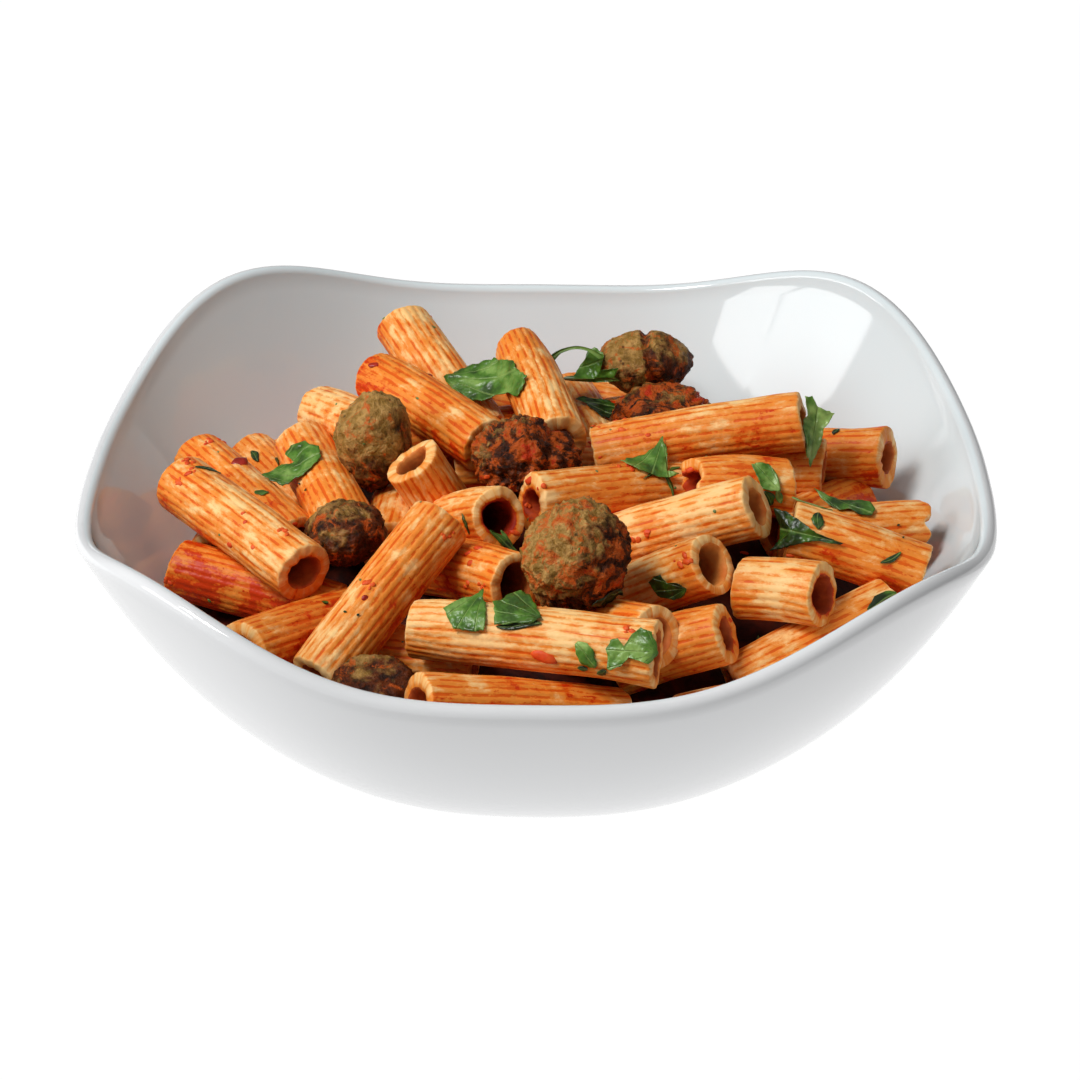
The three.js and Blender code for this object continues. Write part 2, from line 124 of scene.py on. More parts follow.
# ---- mesh helpers
class Parts:
    """Gathers the vertices and faces of several bodies into one mesh."""

    def __init__(self):
        self.verts, self.faces, self.mats, self.uvs, self.floats = [], [], [], [], {}
        self.count = 0

    def add(self, verts, faces, material=0, uv=None, **floats):
        """verts is N by 3; faces a list of index tuples; uv gives one pair for each corner."""
        verts = np.asarray(verts, float)
        self.verts.append(verts)
        base = self.count
        self.count += len(verts)
        mats = material if hasattr(material, "__len__") else [material] * len(faces)
        self.mats.extend(mats)
        self.faces.extend([tuple(base + i for i in f) for f in faces])
        if uv is not None:
            self.uvs.append(np.asarray(uv, float))
        for key, values in floats.items():
            spread = np.broadcast_to(np.asarray(values, float), (len(verts),))
            self.floats.setdefault(key, []).append(spread)
        return base

    def face(self, corners, material=0):
        """One more face, of corners that are numbered in the whole mesh."""
        self.faces.append(tuple(corners))
        self.mats.append(material)

    def build(self, name, materials, replaces=(), slot=None, smooth=True):
        mesh = bpy.data.meshes.new(name)
        mesh.from_pydata((np.concatenate(self.verts) * MM).tolist(), [], self.faces)
        for material in materials:
            mesh.materials.append(material)
        mesh.polygons.foreach_set("material_index", np.array(self.mats, dtype=np.int32))
        mesh.polygons.foreach_set("use_smooth", np.full(len(self.faces), smooth))
        if self.uvs:
            layer = mesh.uv_layers.new(name="Lie")
            layer.uv.foreach_set("vector", np.concatenate(self.uvs).astype(np.float32).ravel())
        for key, values in self.floats.items():
            attribute = mesh.attributes.new(key, "FLOAT", "POINT")
            attribute.data.foreach_set("value", np.concatenate(values).astype(np.float32))
        mesh.update()
        ob = bpy.data.objects.new(name, mesh)
        bpy.context.scene.collection.objects.link(ob)
        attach(ob, "root")
        if replaces:
            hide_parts(*replaces)


def grid_faces(rows, columns, wrap=True):
    """Faces of a grid whose vertex (row, column) has the index row * columns + column."""
    faces = []
    for r in range(rows - 1):
        for c in range(columns if wrap else columns - 1):
            n = (c + 1) % columns
            faces.append((r * columns + c, r * columns + n, (r + 1) * columns + n, (r + 1) * columns + c))
    return faces


def smooth_noise(points, scale, shift=(0, 0, 0)):
    return np.array([noise.noise(Vector(p) * scale + Vector(shift)) for p in points])


def ball(subdivisions):
    bm = bmesh.new()
    bmesh.ops.create_icosphere(bm, subdivisions=subdivisions, radius=1.0)
    return bm


def mesh_of(bm):
    """The vertices and faces of a bmesh, which it frees."""
    verts = np.array([v.co[:] for v in bm.verts])
    faces = [tuple(v.index for v in f.verts) for f in bm.faces]
    bm.free()
    return verts, faces


def way(azimuth, elevation):
    """The unit vector that points this way."""
    az, el = math.radians(azimuth), math.radians(elevation)
    return math.cos(el) * math.cos(az), math.cos(el) * math.sin(az), math.sin(el)


# ---- node helpers
class Nodes:
    """Short calls for a material's node tree."""

    def __init__(self, name):
        self.material = bpy.data.materials.new(name)
        self.material.use_nodes = True
        self.tree = self.material.node_tree
        self.shader = self.tree.nodes["Principled BSDF"]

    def node(self, kind, **settings):
        made = self.tree.nodes.new(kind)
        for key, value in settings.items():
            setattr(made, key, value)
        return made

    def put(self, value, socket):
        if isinstance(value, bpy.types.NodeSocket):
            self.tree.links.new(value, socket)
        elif value is not None:
            socket.default_value = value

    def math(self, operation, a, b=0.0, c=None):
        made = self.node("ShaderNodeMath", operation=operation)
        for value, socket in zip((a, b, c), made.inputs):
            self.put(value, socket)
        return made.outputs[0]

    def swing(self, layer, share, base):
        """base, plus a share of how far a layer is from its middle value."""
        return self.math("MULTIPLY_ADD", self.math("SUBTRACT", layer, 0.5), share, base)

    def step(self, value, low, high):
        made = self.node("ShaderNodeMapRange", interpolation_type="SMOOTHSTEP")
        self.put(value, made.inputs[0])
        made.inputs[1].default_value, made.inputs[2].default_value = low, high
        return made.outputs[0]

    def mix(self, share, a, b):
        made = self.node("ShaderNodeMix", data_type="RGBA")
        self.put(share, made.inputs[0])
        for value, socket in ((a, made.inputs[6]), (b, made.inputs[7])):
            self.put((*value, 1) if isinstance(value, tuple) and len(value) == 3 else value, socket)
        return made.outputs[2]

    def place(self):
        return self.node("ShaderNodeTexCoord").outputs["Object"]

    def lie(self):
        """The mesh's own flat coordinates, and the two of them apart."""
        uv = self.node("ShaderNodeUVMap", uv_map="Lie").outputs[0]
        split = self.node("ShaderNodeSeparateXYZ")
        self.put(uv, split.inputs[0])
        return uv, split.outputs[0], split.outputs[1]

    def noise(self, place, scale, detail=3.0, rough=0.55, distortion=0.0):
        made = self.node("ShaderNodeTexNoise")
        self.put(place, made.inputs["Vector"])
        made.inputs["Scale"].default_value = scale
        made.inputs["Detail"].default_value = detail
        made.inputs["Roughness"].default_value = rough
        made.inputs["Distortion"].default_value = distortion
        return made.outputs[0]

    def cells(self, place, scale):
        made = self.node("ShaderNodeTexVoronoi")
        self.put(place, made.inputs["Vector"])
        made.inputs["Scale"].default_value = scale
        return made.outputs["Distance"]

    def scaled(self, place, x, y, z):
        made = self.node("ShaderNodeMapping")
        self.put(place, made.inputs["Vector"])
        made.inputs["Scale"].default_value = (x, y, z)
        return made.outputs[0]

    def attribute(self, name):
        return self.node("ShaderNodeAttribute", attribute_name=name).outputs["Fac"]

    def bump(self, height, distance, strength=1.0):
        made = self.node("ShaderNodeBump")
        made.inputs["Strength"].default_value = strength
        made.inputs["Distance"].default_value = distance
        self.put(height, made.inputs["Height"])
        return made.outputs[0]

    def finish(self, color, rough, normal=None, **sockets):
        self.put((*color, 1) if isinstance(color, tuple) else color, self.shader.inputs["Base Color"])
        self.put(rough, self.shader.inputs["Roughness"])
        self.put(normal, self.shader.inputs["Normal"])
        for key, value in sockets.items():
            self.shader.inputs[key.replace("_", " ")].default_value = value
        return self.material


def srgb(r, g, b):
    """A colour of 0 to 255 as the shader wants it."""
    return tuple((c / 255 / 12.92) if c <= 10 else ((c / 255 + 0.055) / 1.055) ** 2.4 for c in (r, g, b))


# ---- materials
def porcelain():
    outside = srgb(224, 225, 226), srgb(228, 229, 230)
    # painted light: the inside glaze is tinted cool to cancel the warm light that the food bounces onto it
    inside = srgb(227, 236, 238)
    n = Nodes("white_glaze")
    place = n.place()
    color = n.mix(n.noise(place, 9.0, 1.0), *outside)
    color = n.mix(n.attribute("inside"), color, inside)
    normal = n.bump(n.noise(place, 55.0, 0.0), 0.0002, 0.12)
    return n.finish(color, 0.06, normal, IOR=1.52)


def pasta_outside():
    bare = srgb(255, 209, 142), srgb(252, 186, 104)
    film_color, thin_color, thick_color = srgb(240, 140, 50), srgb(224, 94, 18), srgb(208, 58, 8)
    n = Nodes("pasta_ridged")
    place = n.place()
    uv, round_it, _ = n.lie()
    turn = n.math("COSINE", n.math("MULTIPLY", round_it, 2 * math.pi))
    groove = n.math("MULTIPLY", n.step(turn, 0.0, 0.95), n.attribute("ridge"))
    streak = n.noise(n.scaled(uv, 0.8, 0.11, 1.0), 1.0, 5.0, 0.68)
    patch = n.noise(place, 95.0, 5.0, 0.66, 0.8)
    broad = n.noise(place, 36.0, 1.0)
    speck = n.noise(place, 330.0, 3.0, 0.7)
    # sauce lies in ragged patches and in streaks along the piece, and first of all in the grooves; the stain
    # it starts from is partly painted shade
    amount = n.math("MULTIPLY", n.math("SUBTRACT", n.attribute("stain"), 0.5), 0.9)
    for share, layer in ((1.35, patch), (0.8, broad), (1.4, streak)):
        amount = n.swing(layer, share, amount)
    wet_groove = n.math("MULTIPLY", groove, n.step(streak, 0.36, 0.62))
    lined = n.math("MULTIPLY_ADD", wet_groove, 0.5, amount)
    ragged = n.swing(speck, 0.9, amount)
    color = n.mix(n.step(streak, 0.35, 0.65), *bare)
    color = n.mix(n.step(lined, -0.42, 0.06), color, film_color)
    thin = n.step(lined, 0.12, 0.36)
    color = n.mix(thin, color, thin_color)
    color = n.mix(n.step(ragged, 0.31, 0.40), color, thick_color)
    rough = n.math("MULTIPLY_ADD", thin, -0.06, 0.46)
    normal = n.bump(n.noise(place, 430.0, 2.0), 0.0004, 0.8)
    return n.finish(color, rough, normal, Specular_IOR_Level=0.2)


def pasta_inside():
    bare = srgb(240, 160, 78), srgb(222, 120, 44)
    sauced = srgb(196, 62, 12), srgb(150, 30, 6)
    deep = srgb(104, 20, 3)
    n = Nodes("pasta_bore")
    place = n.place()
    patch = n.step(n.noise(place, 190.0, 3.0), 0.35, 0.65)
    color = n.mix(n.attribute("stain"), n.mix(patch, *bare), n.mix(patch, *sauced))
    # painted shade: the bore goes to a dark red farther in from its ends
    color = n.mix(n.math("MULTIPLY", n.attribute("depth"), 0.75), color, deep)
    return n.finish(color, 0.65, n.bump(patch, 0.0003, 0.5), Specular_IOR_Level=0.25)


def sauce(name, light, dark, gloss):
    n = Nodes(name)
    place = n.place()
    patch = n.step(n.noise(place, 120.0, 3.0, 0.6, 0.6), 0.32, 0.68)
    color = n.mix(patch, srgb(*dark), srgb(*light))
    normal = n.bump(n.noise(place, 420.0, 3.0), 0.0005, 0.6)
    return n.finish(color, 0.9 - 1.1 * gloss, normal, Specular_IOR_Level=gloss)


def meat():
    pale_mince = srgb(136, 100, 38), srgb(190, 146, 82)
    browned_and_shaded = srgb(30, 9, 2), srgb(98, 42, 8)
    thin_sauce, thick_sauce, pit_shade_color = srgb(200, 88, 20), srgb(184, 40, 6), srgb(24, 9, 3)
    n = Nodes("browned_meat")
    place = n.place()
    fine = n.noise(place, 420.0, 4.0, 0.7)
    broad = n.noise(place, 120.0, 4.0, 0.65, 0.6)
    pale = n.mix(n.step(fine, 0.35, 0.66), *pale_mince)
    dark = n.mix(n.step(fine, 0.34, 0.64), *browned_and_shaded)
    # the brown attribute carries each ball's browning and its painted shade: darker on the side away from the
    # light, in cracks and in creases
    shade = n.swing(broad, 2.6, n.attribute("brown_and_shade"))
    color = n.mix(n.step(shade, 0.1, 0.85), pale, dark)
    patch = n.noise(place, 210.0, 5.0, 0.68, 0.8)
    stain = n.math("MULTIPLY_ADD", n.attribute("saucy"), 0.3, patch)
    color = n.mix(n.math("MULTIPLY", n.step(stain, 0.57, 0.67), 0.75), color, thin_sauce)
    color = n.mix(n.math("MULTIPLY", n.step(stain, 0.69, 0.77), 0.85), color, thick_sauce)
    # painted shade: small near-black spots stand for the shade in pits of the mince
    pit_shade = n.step(n.cells(place, 300.0), 0.2, 0.05)
    color = n.mix(n.math("MULTIPLY", pit_shade, 0.7), color, pit_shade_color)
    rough = n.math("MULTIPLY_ADD", broad, 0.7, 0.1)
    return n.finish(color, rough, n.bump(fine, 0.0014, 1.0), Specular_IOR_Level=0.18)


def parsley():
    dark, green = srgb(24, 42, 10), srgb(78, 122, 34)
    light, vein_color = srgb(172, 204, 112), srgb(150, 180, 96)
    n = Nodes("parsley_green")
    place = n.place()
    _, along, beside = n.lie()
    # the veins fan out from the stem's end of the leaf
    fan = n.math("ARCTAN2", beside, along)
    vein = n.step(n.math("ABSOLUTE", n.math("SINE", n.math("MULTIPLY", fan, 9.0))), 0.3, 0.05)
    # blotches of lighter and darker green: partly the leaf's own uneven tone, partly painted highlight and
    # shade on its folds, up to the pale light green
    fold_light_and_tone = n.step(n.noise(place, 150.0, 3.0), 0.32, 0.68)
    tone = n.swing(fold_light_and_tone, 0.55, n.attribute("tone"))
    color = n.mix(n.step(tone, 0.0, 0.55), dark, green)
    color = n.mix(n.step(tone, 0.45, 1.1), color, light)
    color = n.mix(n.math("MULTIPLY", vein, 0.4), color, vein_color)
    height = n.math("MULTIPLY_ADD", vein, -0.5, n.noise(place, 600.0, 1.0))
    return n.finish(color, 0.34, n.bump(height, 0.0006, 0.8), Specular_IOR_Level=0.5)


GLAZE = porcelain()
PASTA_OUT, PASTA_IN = pasta_outside(), pasta_inside()
# the sauce between the pieces: a deep red darkened to near black as painted shade in the gaps
SAUCE_IN_SHADE = sauce("sauce_in_shade", (88, 26, 6), (36, 9, 3), 0.2)
SAUCE_BRIGHT = sauce("sauce_bright", (240, 100, 30), (216, 62, 12), 0.35)
SAUCE_DARK = sauce("sauce_dark", (176, 34, 10), (120, 18, 6), 0.5)
MEAT = meat()
PARSLEY = parsley()


# ---- the bowl
BOWL_COLUMNS, OUTSIDE_ROWS, LIP_STEPS, INSIDE_ROWS = 256, 34, 12, 40
FOOT = [  # radius and height, from the middle of the underside out over the foot ring
    (0.01, FOOT_RECESS), (24, FOOT_RECESS), (FOOT_INSIDE - 1.6, FOOT_RECESS), (FOOT_INSIDE - 0.4, 0.3),
    (FOOT_INSIDE + 0.6, 0.0), (FOOT_RADIUS - 1.5, 0.0), (FOOT_RADIUS, 0.02),
]
FLOOR_RADII = (36, 18, 0.01)


def make_bowl():
    columns = BOWL_COLUMNS
    angle = np.linspace(0, 2 * math.pi, columns, endpoint=False)
    rows = [(np.full(columns, r), np.full(columns, z)) for r, z in FOOT]
    for s in np.linspace(0.05, 1, OUTSIDE_ROWS):
        rows.append(outer_wall(angle, s))
    lip_radius, lip_height = outer_wall(angle, 1.0)
    for i in range(1, LIP_STEPS):
        turn = math.pi * i / LIP_STEPS
        rows.append((lip_radius + WALL / 2 * (math.cos(turn) - 1), lip_height + WALL / 2 * math.sin(turn)))
    for s in np.linspace(1, 0, INSIDE_ROWS):
        rows.append(inner_wall(angle, s))
    rows += [(np.full(columns, r), np.full(columns, FLOOR_THICKNESS)) for r in FLOOR_RADII]
    verts = np.concatenate([np.stack([r * np.cos(angle), r * np.sin(angle), z], 1) for r, z in rows])
    first_inside = (len(FOOT) + OUTSIDE_ROWS + LIP_STEPS // 2) * columns
    parts = Parts()
    # inside marks the rows inside the bowl, whose glaze is tinted cool as painted light against the food's
    # warm bounce
    parts.add(verts, grid_faces(len(rows), columns), inside=np.arange(len(verts)) >= first_inside)
    parts.face(reversed(range(columns)))
    parts.face(range((len(rows) - 1) * columns, len(rows) * columns))
    parts.build("bowl_glazed", [GLAZE], replaces=["bowl"], slot="porcelain")


# ---- the pasta
# What the photograph shows of single pieces, by their place in RIGATONI. stain is how much sauce colour a
# piece carries, set higher on pieces that lie in shade, so it is partly painted shade; inside is the same for
# its bore, where it also paints how dark the bore's shade looks. bore is the radius of its hole, and bend how
# far its middle lies off a straight line. For the two ends, flare widens or narrows an end, flat squeezes it,
# tear is how ragged it is and lip how far its upper edge stands out.
MARKS = {
    0: dict(stain=0.5, bore=4.2, bend=0.7, inside=0.7), 1: dict(stain=0.7), 2: dict(stain=0.62),
    3: dict(stain=0.6), 4: dict(stain=0.3, tear=(1.5, 0)), 5: dict(stain=0.42, bend=0.8),
    6: dict(stain=0.8, flare=(0.95, 1)),
    7: dict(stain=0.56, bore=3.6, flare=(0.86, 1.07), flat=(0.1, 0.06), bend=1.0, inside=0.4),
    8: dict(stain=0.6), 9: dict(stain=0.5, bend=0.6, flare=(0.97, 1.02), bore=3.6, inside=0.2),
    10: dict(stain=0.55, bore=3.5, flat=(0.08, 0), bend=0.9, inside=0.9),
    11: dict(stain=0.75, tear=(4, 0), inside=1.0),
    12: dict(stain=0.36, bend=0.7, bore=4.0, inside=0.25, flat=(0, 0.05)),
    13: dict(stain=0.4, bore=5.1, inside=0.1),
    14: dict(stain=0.4, bore=4.7, inside=0.9, flare=(1, 1.05)),
    15: dict(stain=0.6, bore=3.8, flare=(1, 0.95), inside=0.8),
    16: dict(stain=0.36, flare=(0.86, 1.06), bend=0.9, flat=(0.12, 0.03), bore=4.8, inside=0.6),
    17: dict(stain=0.55, inside=0.5), 18: dict(stain=0.68, bore=4.0), 19: dict(stain=0.58, bend=0.6),
    20: dict(stain=0.92), 21: dict(stain=0.82), 22: dict(stain=0.72, bore=5.0, inside=0.5),
    23: dict(stain=0.45, bore=4.5, lip=(0, 1.6), inside=1.0),
    24: dict(stain=0.45, bore=4.4, lip=(0, 1.2), flare=(1, 0.96), flat=(0, 0.05), inside=0.35),
    25: dict(stain=0.6), 26: dict(stain=0.6, bore=3.5, flat=(0, 0.12)), 27: dict(stain=0.8, inside=0.7),
    28: dict(stain=0.9), 29: dict(stain=0.62, tear=(0, 3.0)), 30: dict(stain=0.62), 31: dict(stain=0.6),
    32: dict(stain=0.9), 33: dict(stain=0.85), 34: dict(stain=0.75),
}
# how far in from the end, share of the wall between the bore (0) and the outside (1), share of the ridges
END_PROFILE = [
    (2.6, 1.0, 1.0), (1.3, 1.0, 0.85), (0.6, 0.99, 0.6), (0.2, 0.95, 0.35), (0.0, 0.86, 0.1),
    (-0.08, 0.5, 0.0), (0.0, 0.14, 0.0), (0.4, 0.02, 0.0), (1.8, 0.0, 0.0),
]
RIDGE_COUNTS, RIDGE_STEPS, RIDGE_SHARPNESS = (22, 23, 24), 5, 2.6
NEAR_START, NEAR_END = 14, 12  # how far an end's own shape reaches along the piece
WOBBLE, WOBBLE_LENGTH = 0.045, 13
TEAR_WAVES, EDGE_WAVES, EDGE_DEPTH, LIP_SPREAD = 1.6, 3, 0.45, 0.3
# the bores carry painted shade that deepens inward from each end
BORE_SHADE_FROM = 12  # how deep in a bore it is darkest


def round_noise(angle, waves, rise):
    """Smooth noise round a piece; rise is one number, or one for each angle."""
    rises = np.broadcast_to(rise, angle.shape)
    return np.array([noise.noise(Vector((math.cos(a) * waves, math.sin(a) * waves, q)))
                     for a, q in zip(angle, rises)])


def rigatone(parts, number, place):
    x, y, z, heading, tilt, length = place
    marks = MARKS.get(number, {})
    shown = number < UNDER_FROM
    ridges = rng.choice(RIDGE_COUNTS)
    steps = RIDGE_STEPS if shown else RIDGE_STEPS - 1
    columns = ridges * steps
    axis = np.array(way(heading, tilt))
    side = np.array([math.sin(math.radians(heading)), -math.cos(math.radians(heading)), 0.0])
    over = np.cross(side, axis)
    middle = np.array([x, y, z], float)
    phase = rng.uniform(0, 2 * math.pi)
    angle = np.linspace(0, 2 * math.pi, columns, endpoint=False) + phase
    oval, oval_turn = rng.uniform(0.0, 0.03), rng.uniform(0, math.pi)
    bend = marks.get("bend", rng.uniform(0.2, 0.9))
    bend_turn = rng.uniform(-0.6, 0.6) - math.pi / 2
    slant = [rng.uniform(-0.6, 0.6) for _ in range(4)]
    depth = rng.uniform(0.26, 0.36)
    twist = rng.uniform(-0.10, 0.10)
    bore = marks.get("bore", rng.uniform(4.1, 4.7))
    bore_oval, bore_turn = rng.uniform(0.03, 0.12), rng.uniform(0, math.pi)
    stain = marks.get("stain", rng.uniform(0.55, 0.9))
    flare, flat = marks.get("flare", (1, 1)), marks.get("flat", (0, 0))
    tear, lip = marks.get("tear", (0, 0)), marks.get("lip", (0, 0))
    half = length / 2
    seed = number * 3.7
    land = (0.5 + 0.5 * np.cos(ridges * (angle - phase))) ** RIDGE_SHARPNESS

    def edge(end):
        """How far an end is cut back, round the piece."""
        cut = slant[end] * np.cos(angle) + slant[end + 2] * np.sin(angle)
        cut = cut + EDGE_DEPTH * round_noise(angle, EDGE_WAVES, seed + 4 + end)
        cut = cut - lip[end] * np.exp(-((np.sin(angle / 2 - math.pi / 4)) / LIP_SPREAD) ** 2)
        if tear[end]:
            cut = cut + tear[end] * np.clip(round_noise(angle, TEAR_WAVES, seed) * 1.6 + 0.35, 0, 1)
        return cut

    ends = (edge(0), edge(1))
    # rows along the outside, round the far end, back through the bore and round the near end
    layout = [("out", p, 1.0, 1.0) for p in np.linspace(-1, 1, 16 if shown else 10)[1:-1]]
    layout += [("far", *row) for row in END_PROFILE]
    layout += [("in", p, 0.0, 0.0) for p in np.linspace(0.85, -0.85, 8 if shown else 5)]
    layout += [("near", *row) for row in reversed(END_PROFILE)]
    room = half - END_PROFILE[0][0]
    verts, lie, bore_shading, kinds = [], [], [], []
    for kind, where, share, ridge in layout:
        if kind in ("out", "in"):
            t = (room - ends[1]) * (1 + where) / 2 - (room - ends[0]) * (1 - where) / 2
        elif kind == "far":
            t = half - where - ends[1]
        else:
            t = -half + where + ends[0]
        near = (np.clip(1 - (t + half) / NEAR_START, 0, 1) ** 1.5,
                np.clip(1 - (half - t) / NEAR_END, 0, 1) ** 1.5)
        wobble = round_noise(angle, 1, t / WOBBLE_LENGTH + seed)
        shape = 1 + oval * np.cos(2 * (angle - oval_turn)) + WOBBLE * wobble
        for end in (0, 1):
            squeeze = flat[end] * near[end] * np.cos(2 * angle - math.pi) * -1
            shape = shape * (1 + (flare[end] - 1) * near[end]) * (1 - squeeze)
        outside = PASTA_RADIUS * shape
        inside = bore * shape * (1 + bore_oval * np.cos(2 * (angle - bore_turn)) + 0.05 * wobble)
        r = inside + (outside - inside) * share - depth * ridge * land * (0.75 + 0.5 * wobble)
        spin = angle + twist * t / half
        curve = bend * (1 - (t / half) ** 2)
        across = r * np.cos(spin) + curve * math.cos(bend_turn)
        rise = r * np.sin(spin) - curve * math.sin(bend_turn)
        verts.append(middle + t[:, None] * axis + across[:, None] * side + rise[:, None] * over)
        lie.append(t)
        kinds.append(kind if share > 0.3 else "in")
        # how far into the bore a spot lies, for the painted shade that darkens the bore inward
        bore_shading.append(np.clip((half - np.abs(t)) / BORE_SHADE_FROM, 0, 1) if kind == "in" else np.zeros(columns))
    rows = len(layout)
    verts = np.concatenate(verts)
    out = verts - (middle + ((verts - middle) @ axis)[:, None] * axis)
    down = -out[:, 2] / np.maximum(1e-6, np.linalg.norm(out, axis=1))
    faces, mats, uvs = [], [], []
    for r in range(rows):
        n = (r + 1) % rows
        inner = kinds[r] == "in" and kinds[n] == "in"
        for c in range(columns):
            d = (c + 1) % columns
            faces.append((r * columns + c, n * columns + c, n * columns + d, r * columns + d))
            mats.append(1 if inner else 0)
            for i, j, u in ((r, c, c), (n, c, c), (n, d, c + 1), (r, d, c + 1)):
                uvs.append((u / steps, lie[i][j] + seed * 9))
    worn = np.concatenate([np.full(columns, share * ridge) for _, _, share, ridge in layout])
    inner = np.repeat([kind == "in" for kind in kinds], columns)
    # the sauce colour, partly painted shade: more of it on the undersides, so they are darker, less where the
    # ridges give out at the ends, and in a bore the bore's own mark
    sauce_and_shade = np.clip(stain + 0.2 * down - 0.25 * (worn < 0.5), 0, 1.2)
    sauce_and_shade = np.where(inner, marks.get("inside", 0.7), sauce_and_shade)
    parts.add(verts, faces, mats, uvs, stain=sauce_and_shade, depth=np.concatenate(bore_shading), ridge=worn)
    return verts, faces


def make_pasta():
    groups = {"rigatoni_" + name: Parts() for name in ("left", "middle", "right", "under")}
    bodies = []
    for number, place in enumerate(RIGATONI):
        name = "left" if place[0] < -25 else "right" if place[0] > 40 else "middle"
        name = "under" if number >= UNDER_FROM else name
        bodies.append(rigatone(groups["rigatoni_" + name], number, place))
    for name, parts in groups.items():
        parts.build(name, [PASTA_OUT, PASTA_IN], replaces=["pasta"], slot="pasta")
    return bodies


CORE_COLUMNS, CORE_RINGS, UNDER_RINGS, CORE_SEARCH = 160, 60, 12, (40, 118, 400)
CORE_DROP, CORE_GAP, UNDER_GAP, FADE_RINGS = 2.0, 0.3, 0.35, 6


def make_core():
    """The sauce between the rigatoni, coloured dark as painted shade in the gaps: a lumpy dome, and an
    underside that follows the wall of the bowl.
    """
    columns, rings = CORE_COLUMNS, CORE_RINGS
    angle = np.linspace(0, 2 * math.pi, columns, endpoint=False)
    reach = []
    for a in angle:  # where the dome meets the wall
        r = np.linspace(*CORE_SEARCH)
        x, y = r * math.cos(a), r * math.sin(a)
        gap = core_height(x, y) - CORE_DROP - (inner_wall_height(x, y) + CORE_GAP)
        reach.append(r[np.argmax(gap < 0)])
    reach = np.array(reach)
    top = []
    for ring in range(rings):
        r = reach * (ring + 1) / rings
        x, y = r * np.cos(angle), r * np.sin(angle)
        points = np.stack([x, y, np.zeros(columns)], 1)
        lumps = 1.6 * smooth_noise(points, 0.11) + 0.7 * smooth_noise(points, 0.35, (34.6, 10.2, 19.4))
        fade = np.clip((rings - 1 - ring) / FADE_RINGS, 0, 1)
        top.append(np.stack([x, y, core_height(x, y) - CORE_DROP + lumps * fade], 1))
    parts = Parts()
    parts.add(np.concatenate(top), grid_faces(rings, columns))
    parts.face(range(columns))
    under = []
    for s in np.linspace(0, 1, UNDER_RINGS)[:-1]:
        for a, edge in zip(angle, reach):
            r = edge * (1 - s)
            x, y = r * math.cos(a), r * math.sin(a)
            under.append((x, y, float(inner_wall_height(x, y)) + UNDER_GAP))
    base = parts.add(under, grid_faces(UNDER_RINGS - 1, columns))
    rim = (rings - 1) * columns
    for c in range(columns):
        d = (c + 1) % columns
        parts.face((rim + c, rim + d, base + d, base + c))
    parts.face(reversed(range(base + (UNDER_RINGS - 2) * columns, base + (UNDER_RINGS - 1) * columns)))
    parts.build("sauce_bed", [SAUCE_IN_SHADE], replaces=["pasta"], slot="pasta")
    return np.concatenate(parts.verts), parts.faces


# ---- the meatballs
# How each ball looks: its browning, how saucy it is and the way its side in shade faces. lean is how much
# darker that side is painted, as painted shade on top of the browning. rough scales the crags, cuts are flat
# sides (the way each faces, how far out) and folds are creases (where they cross, slope, width, depth),
# painted darker as shade.
BALLS = [
    dict(brown_and_shade=0.18, saucy=0.12, dark=(0.3, -0.4, -0.8), rough=0.8,
         cuts=[((0.9, -0.2, 0.25), 0.86), ((-0.55, -0.2, 0.8), 0.84), ((0.75, -0.3, -0.6), 0.8)]),
    dict(brown_and_shade=1.1, saucy=0.36, dark=(0.8, -0.2, -0.5), rough=1.3, folds=[(0.42, 0.25, 0.16, 0.16)],
         cuts=[((-0.5, -0.5, 0.7), 0.86), ((0.65, -0.1, 0.75), 0.75)]),
    dict(brown_and_shade=0.95, saucy=0.1, dark=(0.3, -0.3, -0.9), rough=1.0, cuts=[((0.3, -0.3, 0.9), 0.85)]),
    dict(brown_and_shade=0.42, saucy=0.3, dark=(0.75, -0.1, -0.65), lean=0.95, rough=0.9,
         folds=[(-0.15, -0.5, 0.1, 0.05)],
         cuts=[((-0.8, -0.2, 0.55), 0.82), ((0.5, -0.5, 0.7), 0.9), ((-0.3, -0.8, -0.5), 0.88)]),
    dict(brown_and_shade=0.34, saucy=0.15, dark=(0.7, -0.3, -0.6), rough=0.65, folds=[(0.2, -0.2, 0.1, 0.18)],
         cuts=[((-0.4, -0.4, 0.8), 0.85)]),
    dict(brown_and_shade=1.1, saucy=0.4, dark=(0.2, -0.2, -0.9), rough=1.2, cuts=[((0.1, -0.3, 0.9), 0.75)],
         folds=[(-0.3, 1.5, 0.12, 0.1), (0.3, 1.2, 0.12, 0.1)]),
    dict(brown_and_shade=1.0, saucy=0.1, dark=(0.3, -0.3, -0.8), rough=0.9, cuts=[((0.0, -0.35, 0.93), 0.62)]),
]
FINE_BALLS = {1, 3}  # the ones that show their crags most
# how much darker a ball's shade side is painted when it gives no lean of its own, and the painted shade in
# its creases
SHADE_LEAN, FLATTENED, CREASE_FROM, CREASE_SHADE = 0.55, 0.8, -0.05, 0.6


